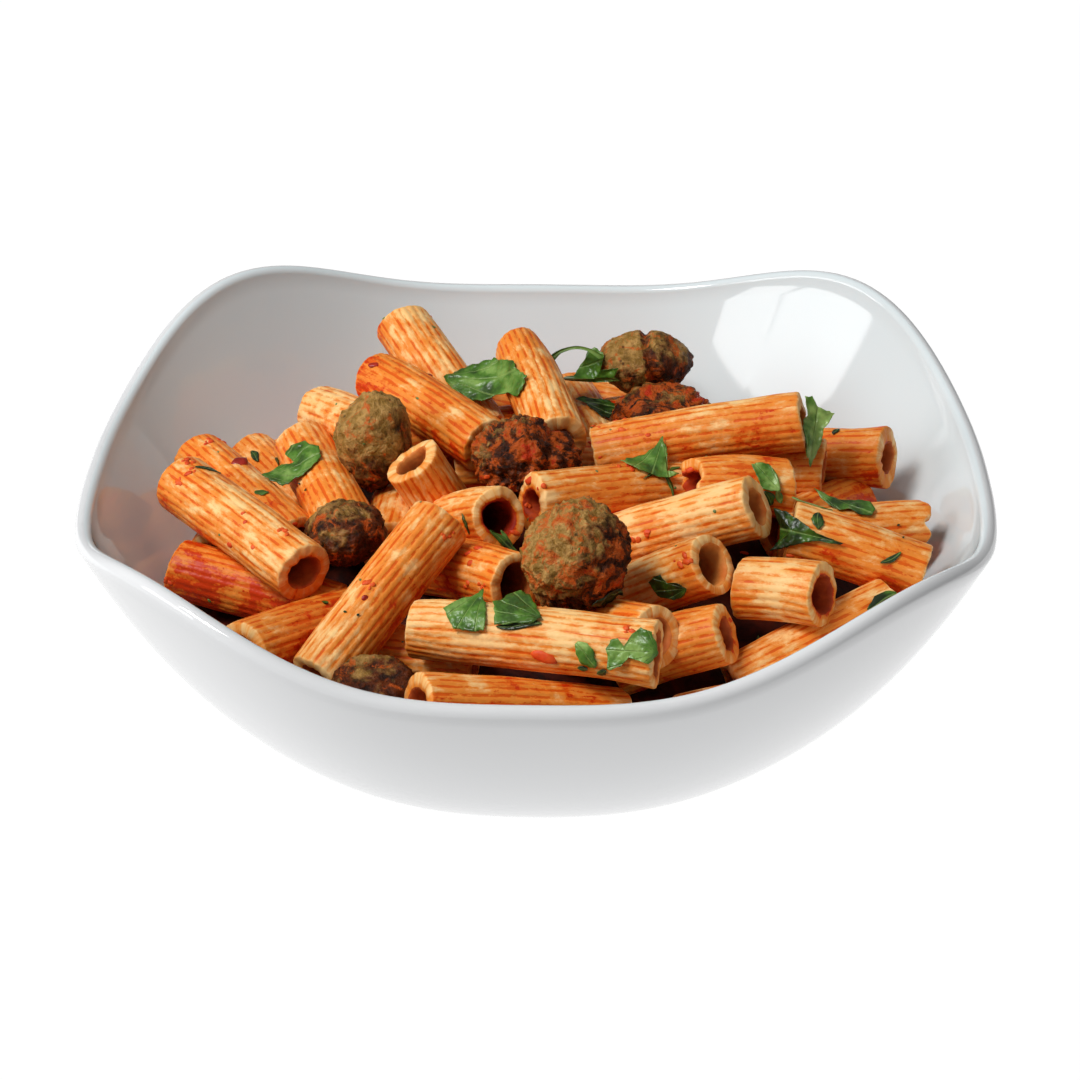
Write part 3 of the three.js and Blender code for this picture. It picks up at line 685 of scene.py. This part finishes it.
def make_meatball(number, spec):
    look = BALLS[number]
    middle, half = Vector(spec[:3]), spec[3:]
    bm = ball(6 if number in FINE_BALLS else 5)
    shade_way = Vector(look["dark"]).normalized()
    cuts = [(Vector(facing).normalized(), far) for facing, far in look["cuts"]]
    brown_and_shade = []
    seed = number * 7.3
    for v in bm.verts:
        p = v.co.copy()
        lean = p.dot(shade_way)
        for facing, far in cuts:
            over = p.dot(facing) - far
            if over > 0:
                p -= facing * over * FLATTENED
        q = Vector((p.x * half[0], p.y * half[1], p.z * half[2]))
        broad = noise.noise(q * 0.13 + Vector((seed, 0, 0)))
        mid = noise.noise(q * 0.32 + Vector((0, seed, 0)))
        cells = noise.voronoi(q * 0.36 + Vector((0, 0, seed)))[0]
        small = noise.voronoi(q * 0.85 + Vector((seed, 0, seed)))[0]
        grain = min(0.6, cells[1] - cells[0])
        crumb = min(0.5, small[1] - small[0])
        fine = noise.fractal(q * 1.5, 0.8, 2.1, 3)
        fold = sum(-deep * math.exp(-((p.x - at - slope * p.z) / wide) ** 2)
                   for at, slope, wide, deep in look.get("folds", ()))
        crags = 0.10 * (grain - 0.3) + 0.045 * (crumb - 0.25) + 0.032 * fine + 0.06 * mid
        v.co = middle + q * (0.97 + 0.07 * broad + look["rough"] * crags + fold)
        # painted shade, over the ball's browning: darker on the side away from the light, in the cracks
        # between the crags and in the creases
        shade = look["brown_and_shade"] + look.get("lean", SHADE_LEAN) * lean - 0.5 * (grain - 0.3)
        brown_and_shade.append(shade + (CREASE_SHADE if fold < CREASE_FROM else 0))
    verts, faces = mesh_of(bm)
    parts = Parts()
    parts.add(verts, faces, brown_and_shade=brown_and_shade, saucy=look["saucy"])
    name = f"meatball_{number + 1}"
    parts.build(name + "_browned", [MEAT], replaces=[name], slot="meatball")
    return verts, faces


# ---- parsley
# x, y, z of the middle, azimuth and elevation of the way the leaf faces, how light it is, and its outline as
# the camera sees it: how far to the right of the middle and how far above it
LEAVES = [
    ((-64, 7.5, 60), (-130, 60), 0.5, [(0, 7), (2, 6), (5, 5), (6, 1.5), (4, -2), (1, -4), (-4, -6.5),
     (-7, -6), (-9, -4.5), (-5.5, 0), (-2, 1), (-5, 3.5), (-3.5, 6)]),
    ((-13.5, 38, 73.5), (-143, 55), 0.45, [(-13.5, -1), (-11, 1), (-6.5, 4), (-0.5, 5.5), (1, 4.5), (6, 3),
     (7, 0.5), (10, -2), (9, -4.5), (7, -7), (3.5, -5), (-0.5, -5), (-4, -6.5), (-8, -6.5), (-12, -3.5)]),
    ((15, 52.5, 64.5), (-95, 25), 0.5, [(-2, 8.5), (0.5, 9), (2.5, 6.5), (1.5, 2.5), (6.5, 3), (5.5, 0.5),
     (7, -0.5), (0.5, -1), (-6.5, -0.5), (-13, 0.5), (-6, 1), (-5, 3), (-3, 6)]),
    ((17, 48, 59.5), (-80, 50), 0.05, [(-7.5, 1.5), (-5.5, 2.5), (0, 2), (2.5, 1.5), (5, -0.5), (4, -3),
     (1.5, -6), (-1, -5.5), (-3, -2.5), (-5, 0)]),
    ((30.5, -6.5, 67.5), (-90, 65), 0.5, [(-8.5, 2.5), (-6.5, 3.5), (-3.5, 4.5), (0.5, 7), (3, 9.5),
     (4, 6.5), (4, 0.5), (7, 0), (4.5, -1.5), (2, -1.5), (-3.5, -0.5), (-6.5, 1)]),
    ((75, 10.5, 73), (-80, 30), 0.72, [(-3, 7), (-1, 7), (0.5, 4.5), (2, 3.5), (5, 2.5), (3.5, 0),
     (2, -1.5), (1.5, -5), (0, -8.5), (-2, -11.5), (-3.5, -8.5), (-4.5, -3.5), (-4, 0.5), (-2.5, 2)]),
    ((-15, -74, 63), (-105, 60), 0.45, [(-6, 0.5), (-2.5, 3), (0, 4), (3.5, 6), (3.5, 2.5), (4.5, 2),
     (4.5, -1.5), (4, -5), (-0.5, -5), (-3.5, -4.5), (-4, -3.5)]),
    ((-3.5, -74, 64), (-100, 60), 0.5, [(-5.5, 1.5), (-3.5, 2.5), (-1.5, 5), (1, 5.5), (3, 4.5), (4.5, 1.5),
     (6.5, -3.5), (3.5, -5), (-1, -5), (-5, -5), (-5, -2.5)]),
    ((23, -89, 61.5), (-105, 40), 0.5, [(-4.5, -4.5), (-4, -1.5), (-4.5, 0.5), (-3, 2.5), (-1.5, 3), (0, 1),
     (2, 4), (4, 5.5), (6.5, 4.5), (8, 2), (7.5, -1), (5.5, -3), (2.5, -2), (1, -1.5), (-1, -3.5),
     (-3.5, -4.5)]),
    ((66, -32.5, 63.5), (-100, 30), 0.1, [(-5, 6), (-1.5, 5), (1.5, 3), (3.5, 1.5), (6, -0.5), (12.5, -3),
     (12, -3.5), (6, -2.5), (1, -3.5), (-3, -4.5), (-6, -5), (-3.5, -2), (-3.5, 1.5), (-4.5, 4)]),
    ((82.5, -12.5, 60.5), (-75, 50), 0.4, [(-8.5, 5), (-6, 4), (-2.5, 2.5), (0, 2), (2.5, 2), (5.5, 1),
     (6, -1.5), (5, -3.5), (1.5, -3), (-0.5, -1.5), (-3.5, -1.5), (-6, 0.5), (-7.5, 2.5)]),
    ((33.5, -52, 57), (-120, 20), 0.25, [(-4, 2), (-2.5, 3.5), (-1, 4), (1, 2), (3.5, 2), (5.5, 0.5),
     (5, -1.5), (2, -2.5), (-1.5, -2), (-3, 0)]),
    ((60, -14.5, 69.5), (-80, 50), 0.55, [(-4, 3), (-2, 3.5), (0.5, 3), (2.5, 0.5), (3.5, -4), (1, -4),
     (-1.5, -3), (-2.5, -0.5)]),
]
LEAF_STEP, LEAF_RINGS, LEAF_LIFT, LEAF_THICKNESS = 0.8, 9, 0.5, 0.28
# how far a leaf's spots may lie below or above its middle, and where the rays that feel for the food start
LOWEST_REST, HIGHEST_REST, DROP_FROM = -4.0, 6.5, 12.0
LEAST_SHARE, TRIM, SMOOTHING = 0.3, 0.03, 90


def seen_on(face, right, rise):
    """The way, in the plane with this normal, to what the camera sees so far to the right and above."""
    off = RIGHT * right + RISE * rise
    return off - SIGHT * (off.dot(face) / SIGHT.dot(face))


def leaf_rim(outline, face, seed):
    """Points round a leaf as seen from above it, with a ragged edge."""
    across = UP.cross(face).normalized()
    up = face.cross(across)
    rim = []
    for (a, b), (c, d) in zip(outline, outline[1:] + outline[:1]):
        steps = max(1, round(math.hypot(c - a, d - b) / LEAF_STEP))
        for i in range(steps):
            off = seen_on(face, a + (c - a) * i / steps, b + (d - b) * i / steps)
            off *= 1 + 0.09 * noise.noise(off * 0.9 + Vector((seed, 0, 0)))
            rim.append((off.dot(across), off.dot(up)))
    return rim, across, up


def draped(low, index):
    """Heights that are smooth and nowhere below low; index gives the spots by sector and ring."""
    height = low.copy()
    for _ in range(SMOOTHING):
        grid = height[index]
        inner = np.concatenate([np.full((len(grid), 1), height[0]), grid[:, :-1]], 1)
        outer = np.concatenate([grid[:, 1:], 2 * grid[:, -1:] - grid[:, -2:-1]], 1)
        mean = (np.roll(grid, 1, 0) + np.roll(grid, -1, 0) + inner + outer) / 4
        height[0] = max(low[0], grid[:, 0].mean())
        height[index] = np.maximum(low[index], mean)
    return height


def make_leaf(number, spec, tree):
    middle, facing, tone, outline = spec
    middle, face = Vector(middle), Vector(way(*facing))
    rim, across, up = leaf_rim(outline, face, number * 2.9)
    sectors, rings = len(rim), LEAF_RINGS

    def rest(u, v):
        origin = middle + across * u + up * v + face * DROP_FROM
        hit = tree.ray_cast(origin, -face, DROP_FROM * 3)
        return (DROP_FROM - hit[3] + LEAF_LIFT) if hit[0] is not None else LOWEST_REST

    spots = [(0.0, 0.0, 0.0)]
    for u, v in rim:
        share = 1.0
        while share > LEAST_SHARE and rest(u * share, v * share) > HIGHEST_REST:
            share -= TRIM
        spots += [(u * share * ring / rings, v * share * ring / rings, ring / rings)
                  for ring in range(1, rings + 1)]
    low = np.array([max(LOWEST_REST, rest(u, v)) for u, v, _ in spots])
    index = np.arange(sectors * rings).reshape(sectors, rings) + 1
    tops, bottoms = [], []
    for (u, v, share), h in zip(spots, draped(low, index)):
        wave = noise.noise(Vector((u * 0.3, v * 0.3, number)))
        ripple = noise.noise(Vector((u * 0.6, v * 0.6, number + 9)))
        curl = 0.5 * share**3 * (1 + wave) + 0.4 * ripple
        lie = middle + across * u + up * v + face * (h + max(0, curl))
        tops.append(lie + face * LEAF_THICKNESS / 2)
        bottoms.append(lie - face * LEAF_THICKNESS / 2)
    under = len(tops)
    stem = np.array(max(rim, key=lambda spot: math.hypot(*spot)))
    lead = -stem / np.linalg.norm(stem)
    flat = np.array([(u, v) for u, v, _ in spots]) - stem
    flat = np.stack([flat @ lead, flat @ np.array([-lead[1], lead[0]])], 1)
    faces, uvs = [], []

    def add(*corner):
        faces.append(corner)
        uvs.extend(flat[c % under] for c in corner)

    for k in range(sectors):
        n = (k + 1) % sectors
        add(0, int(index[n, 0]), int(index[k, 0]))
        add(under, under + int(index[k, 0]), under + int(index[n, 0]))
        for r in range(rings - 1):
            a, b, c, d = (int(index[k, r]), int(index[k, r + 1]), int(index[n, r + 1]), int(index[n, r]))
            add(a, d, c, b)
            add(under + a, under + b, under + c, under + d)
        a, b = int(index[k, -1]), int(index[n, -1])
        add(a, b, under + b, under + a)
    parts = Parts()
    parts.add([p[:] for p in tops + bottoms], faces, uv=uvs, tone=tone)
    name = f"leaf_{number + 1}"
    parts.build(name + "_green", [PARSLEY], replaces=[name], slot="parsley")


# Narrow bits of herb: where the camera sees their middles (pixels), length, width, turn from level, how light
BITS = [
    (669, 482, 8, 1.2, -80, 0.1), (655, 474, 8, 0.8, 18, 0.15), (674, 469, 3.5, 0.9, 22, 0.3),
    (502, 541, 9, 2.2, -32, 0.1), (509, 541, 7, 1.2, -48, 0.3), (762, 632, 10, 3.5, 28, 0.0),
    (607, 596, 8, 4, 0, 0.1), (818, 521, 5, 3.2, 80, 0.25), (768, 498, 4.5, 3, -60, 0.1),
    (779, 497, 3.5, 2, -60, 0.7), (812, 505, 11, 1.5, -18, 0.6), (891, 558, 6, 1.6, 27, 0.35),
    (880, 498, 3.5, 1.3, -60, 0.1), (882, 602, 9, 4, 25, 0.2), (208, 470, 7, 1.6, -20, 0.1),
    (255, 457, 5.5, 2.2, -50, 0.1), (262, 493, 3.8, 2, 10, 0.4), (278, 461, 3.6, 2, -30, 0.4),
    (466, 524, 5.5, 1.3, 95, 0.1), (224, 442, 2, 1, 0, 0.7), (325, 603, 1.6, 1.6, 0, 0.3),
    (836, 432, 3, 1.6, 60, 0.1), (586, 655, 7.5, 4.5, -45, 0.6), (583, 668, 2.5, 1.5, 0, 0.1),
    (602, 672, 3, 2, 30, 0.1), (519, 625, 11, 2, -2, 0.05), (481, 617, 4.5, 1.8, 75, 0.95),
    (345, 612, 0.8, 0.6, 0, 0), (358, 615, 0.8, 0.6, 50, 0), (300, 484, 0.8, 0.6, 0, 0),
    (306, 490, 0.8, 0.6, 40, 0), (898, 525, 0.8, 0.6, 0, 0), (903, 538, 0.8, 0.6, 30, 0),
    (592, 428, 0.8, 0.6, 0, 0),
]
# Clots of sauce and pulp: where the camera sees them (pixels), length, width, how dark
CLOTS = [
    (365, 598, 1.8, 1.6, 1), (544, 657, 7, 3, 0), (245, 522, 1.4, 1.1, 0), (243, 513, 1.4, 1, 0),
    (295, 524, 1.6, 1.2, 0), (230, 545, 2.4, 1.8, 0), (253, 547, 1.6, 1.4, 0), (478, 548, 3, 1.5, 0),
    (468, 553, 2.4, 1.4, 0), (470, 563, 2, 1.6, 0), (375, 365, 4, 2, 1), (430, 375, 1.8, 1.2, 1),
    (648, 435, 1.6, 1.2, 0), (530, 480, 4, 2, 0), (240, 462, 5, 4, 1), (487, 477, 1.6, 1.2, 0),
    (515, 533, 3, 1.4, 0), (745, 553, 3, 1.2, 0), (790, 556, 2.5, 1, 0), (622, 430, 2.4, 1.4, 0),
    (690, 470, 3, 1.5, 0), (730, 620, 2, 1.4, 0),
]


def pixel_ray(px, py):
    half = SENSOR / LENS / PICTURE
    return (SIGHT + RIGHT * (px - PICTURE / 2) * half - RISE * (py - PICTURE / 2) * half).normalized()


def tangents(normal, turn):
    """Two ways along a surface: what the camera sees at this turn from level, and square to it."""
    along = seen_on(normal, math.cos(turn), math.sin(turn)).normalized()
    return along, normal.cross(along)


BIT_ROWS, BIT_COLUMNS, BIT_THICKNESS, BIT_LIFT = 8, 4, 0.22, 0.3
# where the rays that feel for the food start, how far they go, and how far a bit drops at most and on a miss
BIT_FROM, BIT_REACH, BIT_FALL, BIT_MISS = 3, 6, 4.5, 3.6


def make_bits(tree):
    parts = Parts()
    rows, columns = BIT_ROWS, BIT_COLUMNS
    for number, (px, py, length, width, turn, tone) in enumerate(BITS):
        hit = tree.ray_cast(CAMERA, pixel_ray(px, py))
        if hit[0] is None:
            continue
        spot, normal = hit[0], (hit[1] - SIGHT * 0.5).normalized()
        along, beside = tangents(normal, math.radians(turn))
        tops, flat = [], []
        for r in range(rows + 1):
            s = r / rows * 2 - 1
            uneven = 1 + 0.35 * noise.noise(Vector((s * 3, number * 3.1, 0)))
            bulge = width / 2 * max(0.12, math.cos(s * 1.35)) * uneven
            for c in range(columns + 1):
                w = (c / columns * 2 - 1) * bulge
                bow = along * (s * length / 2) + beside * (w + 0.06 * length * math.sin(s * 2 + number))
                top = spot + bow + normal * BIT_FROM
                down = tree.ray_cast(top, -normal, BIT_REACH)
                fall = min(down[3], BIT_FALL) if down[0] is not None else BIT_MISS
                curl = 0.12 * abs(w) + 0.25 * s * s
                tops.append(top - normal * (fall - BIT_LIFT - curl))
                flat.append((s * length / 2 + length, w))
        verts = [p[:] for p in tops] + [(p - normal * BIT_THICKNESS)[:] for p in tops]
        faces = grid_faces(rows + 1, columns + 1, wrap=False)
        under = len(tops)
        faces += [tuple(reversed([under + i for i in f])) for f in faces]
        ring = [*range(columns), *(r * (columns + 1) + columns for r in range(rows)),
                *(under - 1 - c for c in range(columns)), *((rows - r) * (columns + 1) for r in range(rows))]
        faces += [(b, a, under + a, under + b) for a, b in zip(ring, ring[1:] + ring[:1])]
        parts.add(verts, faces, uv=[flat[i % under] for f in faces for i in f], tone=tone)
    parts.build("herb_bits", [PARSLEY], slot="parsley")


# A thin stem that arches beside a leaf, in the leaf's plane: where the camera sees it (pixels), and its width
SPRIG_LEAF, SPRIG_STEPS, SPRIG_THICKNESS = 2, 4, 0.5
SPRIG = [(549, 386, 1.6), (546, 374, 2.6), (549, 361, 2.2), (560, 351, 1.1), (575, 347, 0.9), (588, 349, 0.9),
         (601, 357, 1.6)]


def make_sprig():
    middle, facing, tone, _ = LEAVES[SPRIG_LEAF]
    face = Vector(way(*facing))
    spots = []
    for px, py, width in SPRIG:
        ray = pixel_ray(px, py)
        spots.append((CAMERA + ray * ((Vector(middle) + face - CAMERA).dot(face) / ray.dot(face)), width))
    path = []
    for (a, a_width), (b, b_width) in zip(spots, spots[1:]):
        for i in range(SPRIG_STEPS):
            share = i / SPRIG_STEPS
            path.append((a.lerp(b, share), a_width + (b_width - a_width) * share))
    path.append(spots[-1])
    for _ in range(2):
        inner = [((p + q * 2 + r) / 4, w) for (p, _), (q, w), (r, _) in zip(path, path[1:], path[2:])]
        path = [path[0], *inner, path[-1]]
    verts, flat = [], []
    for i, (spot, width) in enumerate(path):
        along = (path[min(i + 1, len(path) - 1)][0] - path[max(i - 1, 0)][0]).normalized()
        beside = face.cross(along)
        for right, lift in ((-1, -1), (1, -1), (1, 1), (-1, 1)):
            verts.append((spot + beside * right * width / 2 + face * lift * SPRIG_THICKNESS / 2)[:])
            flat.append((i + 1.0, right * width / 2))
    faces = grid_faces(len(path), 4) + [(3, 2, 1, 0), tuple(range(len(verts) - 4, len(verts)))]
    parts = Parts()
    parts.add(verts, faces, uv=[flat[i] for f in faces for i in f], tone=tone)
    parts.build("herb_sprig", [PARSLEY], slot="parsley", smooth=False)


# ---- clots, pulp and specks
LUMP_SHAPE, LUMP_FACES = mesh_of(ball(2))


def add_lump(parts, spot, normal, turn, size, draw, **floats):
    """One flattened lump on the food; size is its half length, half width and height."""
    along, beside = tangents(normal, turn)
    bumpy = [1 + 0.28 * noise.noise(Vector(p) * 1.7 + Vector((draw.uniform(0, 0.2) + spot.x, spot.y, 0)))
             for p in LUMP_SHAPE]
    local = LUMP_SHAPE * np.array(size) * np.array(bumpy)[:, None]
    axes = np.array([along[:], beside[:], normal[:]])
    parts.add(local @ axes + np.array(spot[:]), LUMP_FACES, **floats)


def make_clots(tree):
    draw = random.Random(21)
    for dark, name, material in ((0, "sauce_clots", SAUCE_BRIGHT), (1, "sauce_drops", SAUCE_DARK)):
        parts = Parts()
        for px, py, length, width, kind in CLOTS:
            hit = tree.ray_cast(CAMERA, pixel_ray(px, py))
            if kind == dark and hit[0] is not None:
                size = (length / 2, width / 2, 0.16 * (length + width) / 2)
                normal = (hit[1] - SIGHT * 0.3).normalized()
                add_lump(parts, hit[0], normal, draw.uniform(-0.5, 0.5), size, draw)
        parts.build(name, [material], slot="pasta")


SCATTER_HALF, SCATTER_START, SCATTER_REACH = 100, 60, 200
SCATTER_LOWEST, SCATTER_CLEAR = 36, 2  # how high the food must be, and how far over the bowl's inside


def scatter(name, tree, clusters, each, spread, sizes, material, slot, seed, **floats):
    """Small flat lumps in clusters that lie on the food where a ray from above meets it."""
    draw = random.Random(seed)
    parts = Parts()
    made = 0
    while made < clusters:
        x, y = draw.uniform(-SCATTER_HALF, SCATTER_HALF), draw.uniform(-SCATTER_HALF, SCATTER_HALF)
        lean = Vector((draw.uniform(-0.4, 0.4), draw.uniform(0, 1.2), -1)).normalized()
        found = False
        for _ in range(each):
            off = Vector((draw.gauss(0, spread), draw.gauss(0, spread), 0))
            start = Vector((x, y, SCATTER_START)) + off - lean * SCATTER_START
            spot, normal, *_ = tree.ray_cast(start, lean, SCATTER_REACH)
            if spot is None or spot.z < SCATTER_LOWEST:
                continue
            if spot.z < inner_wall_height(spot.x, spot.y) + SCATTER_CLEAR:
                continue
            size = draw.uniform(*sizes)
            turn = draw.uniform(0, 3)
            lengths = (size * draw.uniform(0.9, 1.9), size, size * 0.45)
            add_lump(parts, spot, normal, turn, lengths, draw, **floats)
            found = True
        made += found
    parts.build(name, [material], slot=slot)


def tree_of(bodies):
    verts, faces, base = [], [], 0
    for body_verts, body_faces in bodies:
        verts.extend(map(tuple, body_verts))
        faces.extend([tuple(base + i for i in f) for f in body_faces])
        base += len(body_verts)
    return BVHTree.FromPolygons(verts, faces)


make_bowl()
pasta_bodies = make_pasta()
core_body = make_core()
meat_bodies = [make_meatball(i, spec) for i, spec in enumerate(MEATBALLS)]
food = tree_of(pasta_bodies + meat_bodies + [core_body])
for i, spec in enumerate(LEAVES):
    make_leaf(i, spec, food)
make_bits(food)
make_sprig()
make_clots(food)
scatter("sauce_pulp", tree_of(pasta_bodies), 30, 5, 1.2, (0.35, 0.8), SAUCE_BRIGHT, "pasta", seed=5)
scatter("herb_specks", food, 34, 1, 0.0, (0.25, 0.45), PARSLEY, "parsley", seed=8, tone=0.05)


# ---- stage, light and camera
# in metres, and how much dimmer it is as a share
FLOOR_HALF, GLOW_MIDDLE, GLOW_EDGES, DIMMED = 6.0, (-0.04, 0.2, 0), (0.475, 0.62), 0.75


def make_floor():
    """A pale floor that glows round the bowl and is dimmer farther off."""
    bm = bmesh.new()
    bmesh.ops.create_grid(bm, x_segments=2, y_segments=2, size=FLOOR_HALF)
    mesh = bpy.data.meshes.new("floor")
    bm.to_mesh(mesh)
    bm.free()
    floor = bpy.data.objects.new("floor", mesh)
    bpy.context.scene.collection.objects.link(floor)
    n = Nodes("pale_floor")
    off = n.node("ShaderNodeVectorMath", operation="DISTANCE")
    n.put(n.place(), off.inputs[0])
    off.inputs[1].default_value = GLOW_MIDDLE
    glow = n.math("MULTIPLY_ADD", n.step(off.outputs["Value"], *GLOW_EDGES), -DIMMED, 1.0)
    n.put(glow, n.shader.inputs["Emission Strength"])
    n.finish((0.02, 0.02, 0.02), 1.0, Emission_Color=(1, 1, 1, 1), Specular_IOR_Level=0.0)
    mesh.materials.append(n.material)


def area_light(name, where, target, size, power):
    data = bpy.data.lights.new(name, "AREA")
    data.shape = "RECTANGLE"
    data.size, data.size_y = size
    data.energy = power
    ob = bpy.data.objects.new(name, data)
    ob.location = where
    ob.rotation_euler = (Vector(target) - Vector(where)).to_track_quat("-Z", "Y").to_euler()
    bpy.context.scene.collection.objects.link(ob)


FOOD_MIDDLE, WINDOW_SIZE, WINDOW_POWER = (0, 0, 0.05), (0.38, 0.5), 2.9
WORLD_LIGHT = 0.19

make_floor()
area_light("window_left", (-1.15, -0.52, 0.58), FOOD_MIDDLE, WINDOW_SIZE, WINDOW_POWER)
area_light("window_right", (-1.30, -0.16, 0.58), FOOD_MIDDLE, WINDOW_SIZE, WINDOW_POWER)
area_light("sky_left", (-0.64, -0.37, 1.19), FOOD_MIDDLE, (0.45, 0.45), 12.5)
area_light("soft_top", (0.2, 0.4, 1.6), (0, 0, 0), (1.4, 1.0), 1.2)
scene = bpy.context.scene
world = bpy.data.worlds.new("studio")
world.use_nodes = True
background = world.node_tree.nodes["Background"]
background.inputs[0].default_value = (1, 1, 1, 1)
background.inputs[1].default_value = WORLD_LIGHT
scene.world = world
scene.view_settings.view_transform = "Standard"
scene.view_settings.look = "None"
scene.cycles.max_bounces = 4
scene.cycles.diffuse_bounces = 3
scene.cycles.glossy_bounces = 2

camera_data = bpy.data.cameras.new("camera")
camera_data.lens = LENS
camera_data.sensor_width = SENSOR
camera_data.clip_start = 0.05
camera = bpy.data.objects.new("camera", camera_data)
camera.location = CAMERA * MM
camera.rotation_euler = (TARGET - CAMERA).to_track_quat("-Z", "Y").to_euler()
scene.collection.objects.link(camera)
scene.camera = camera
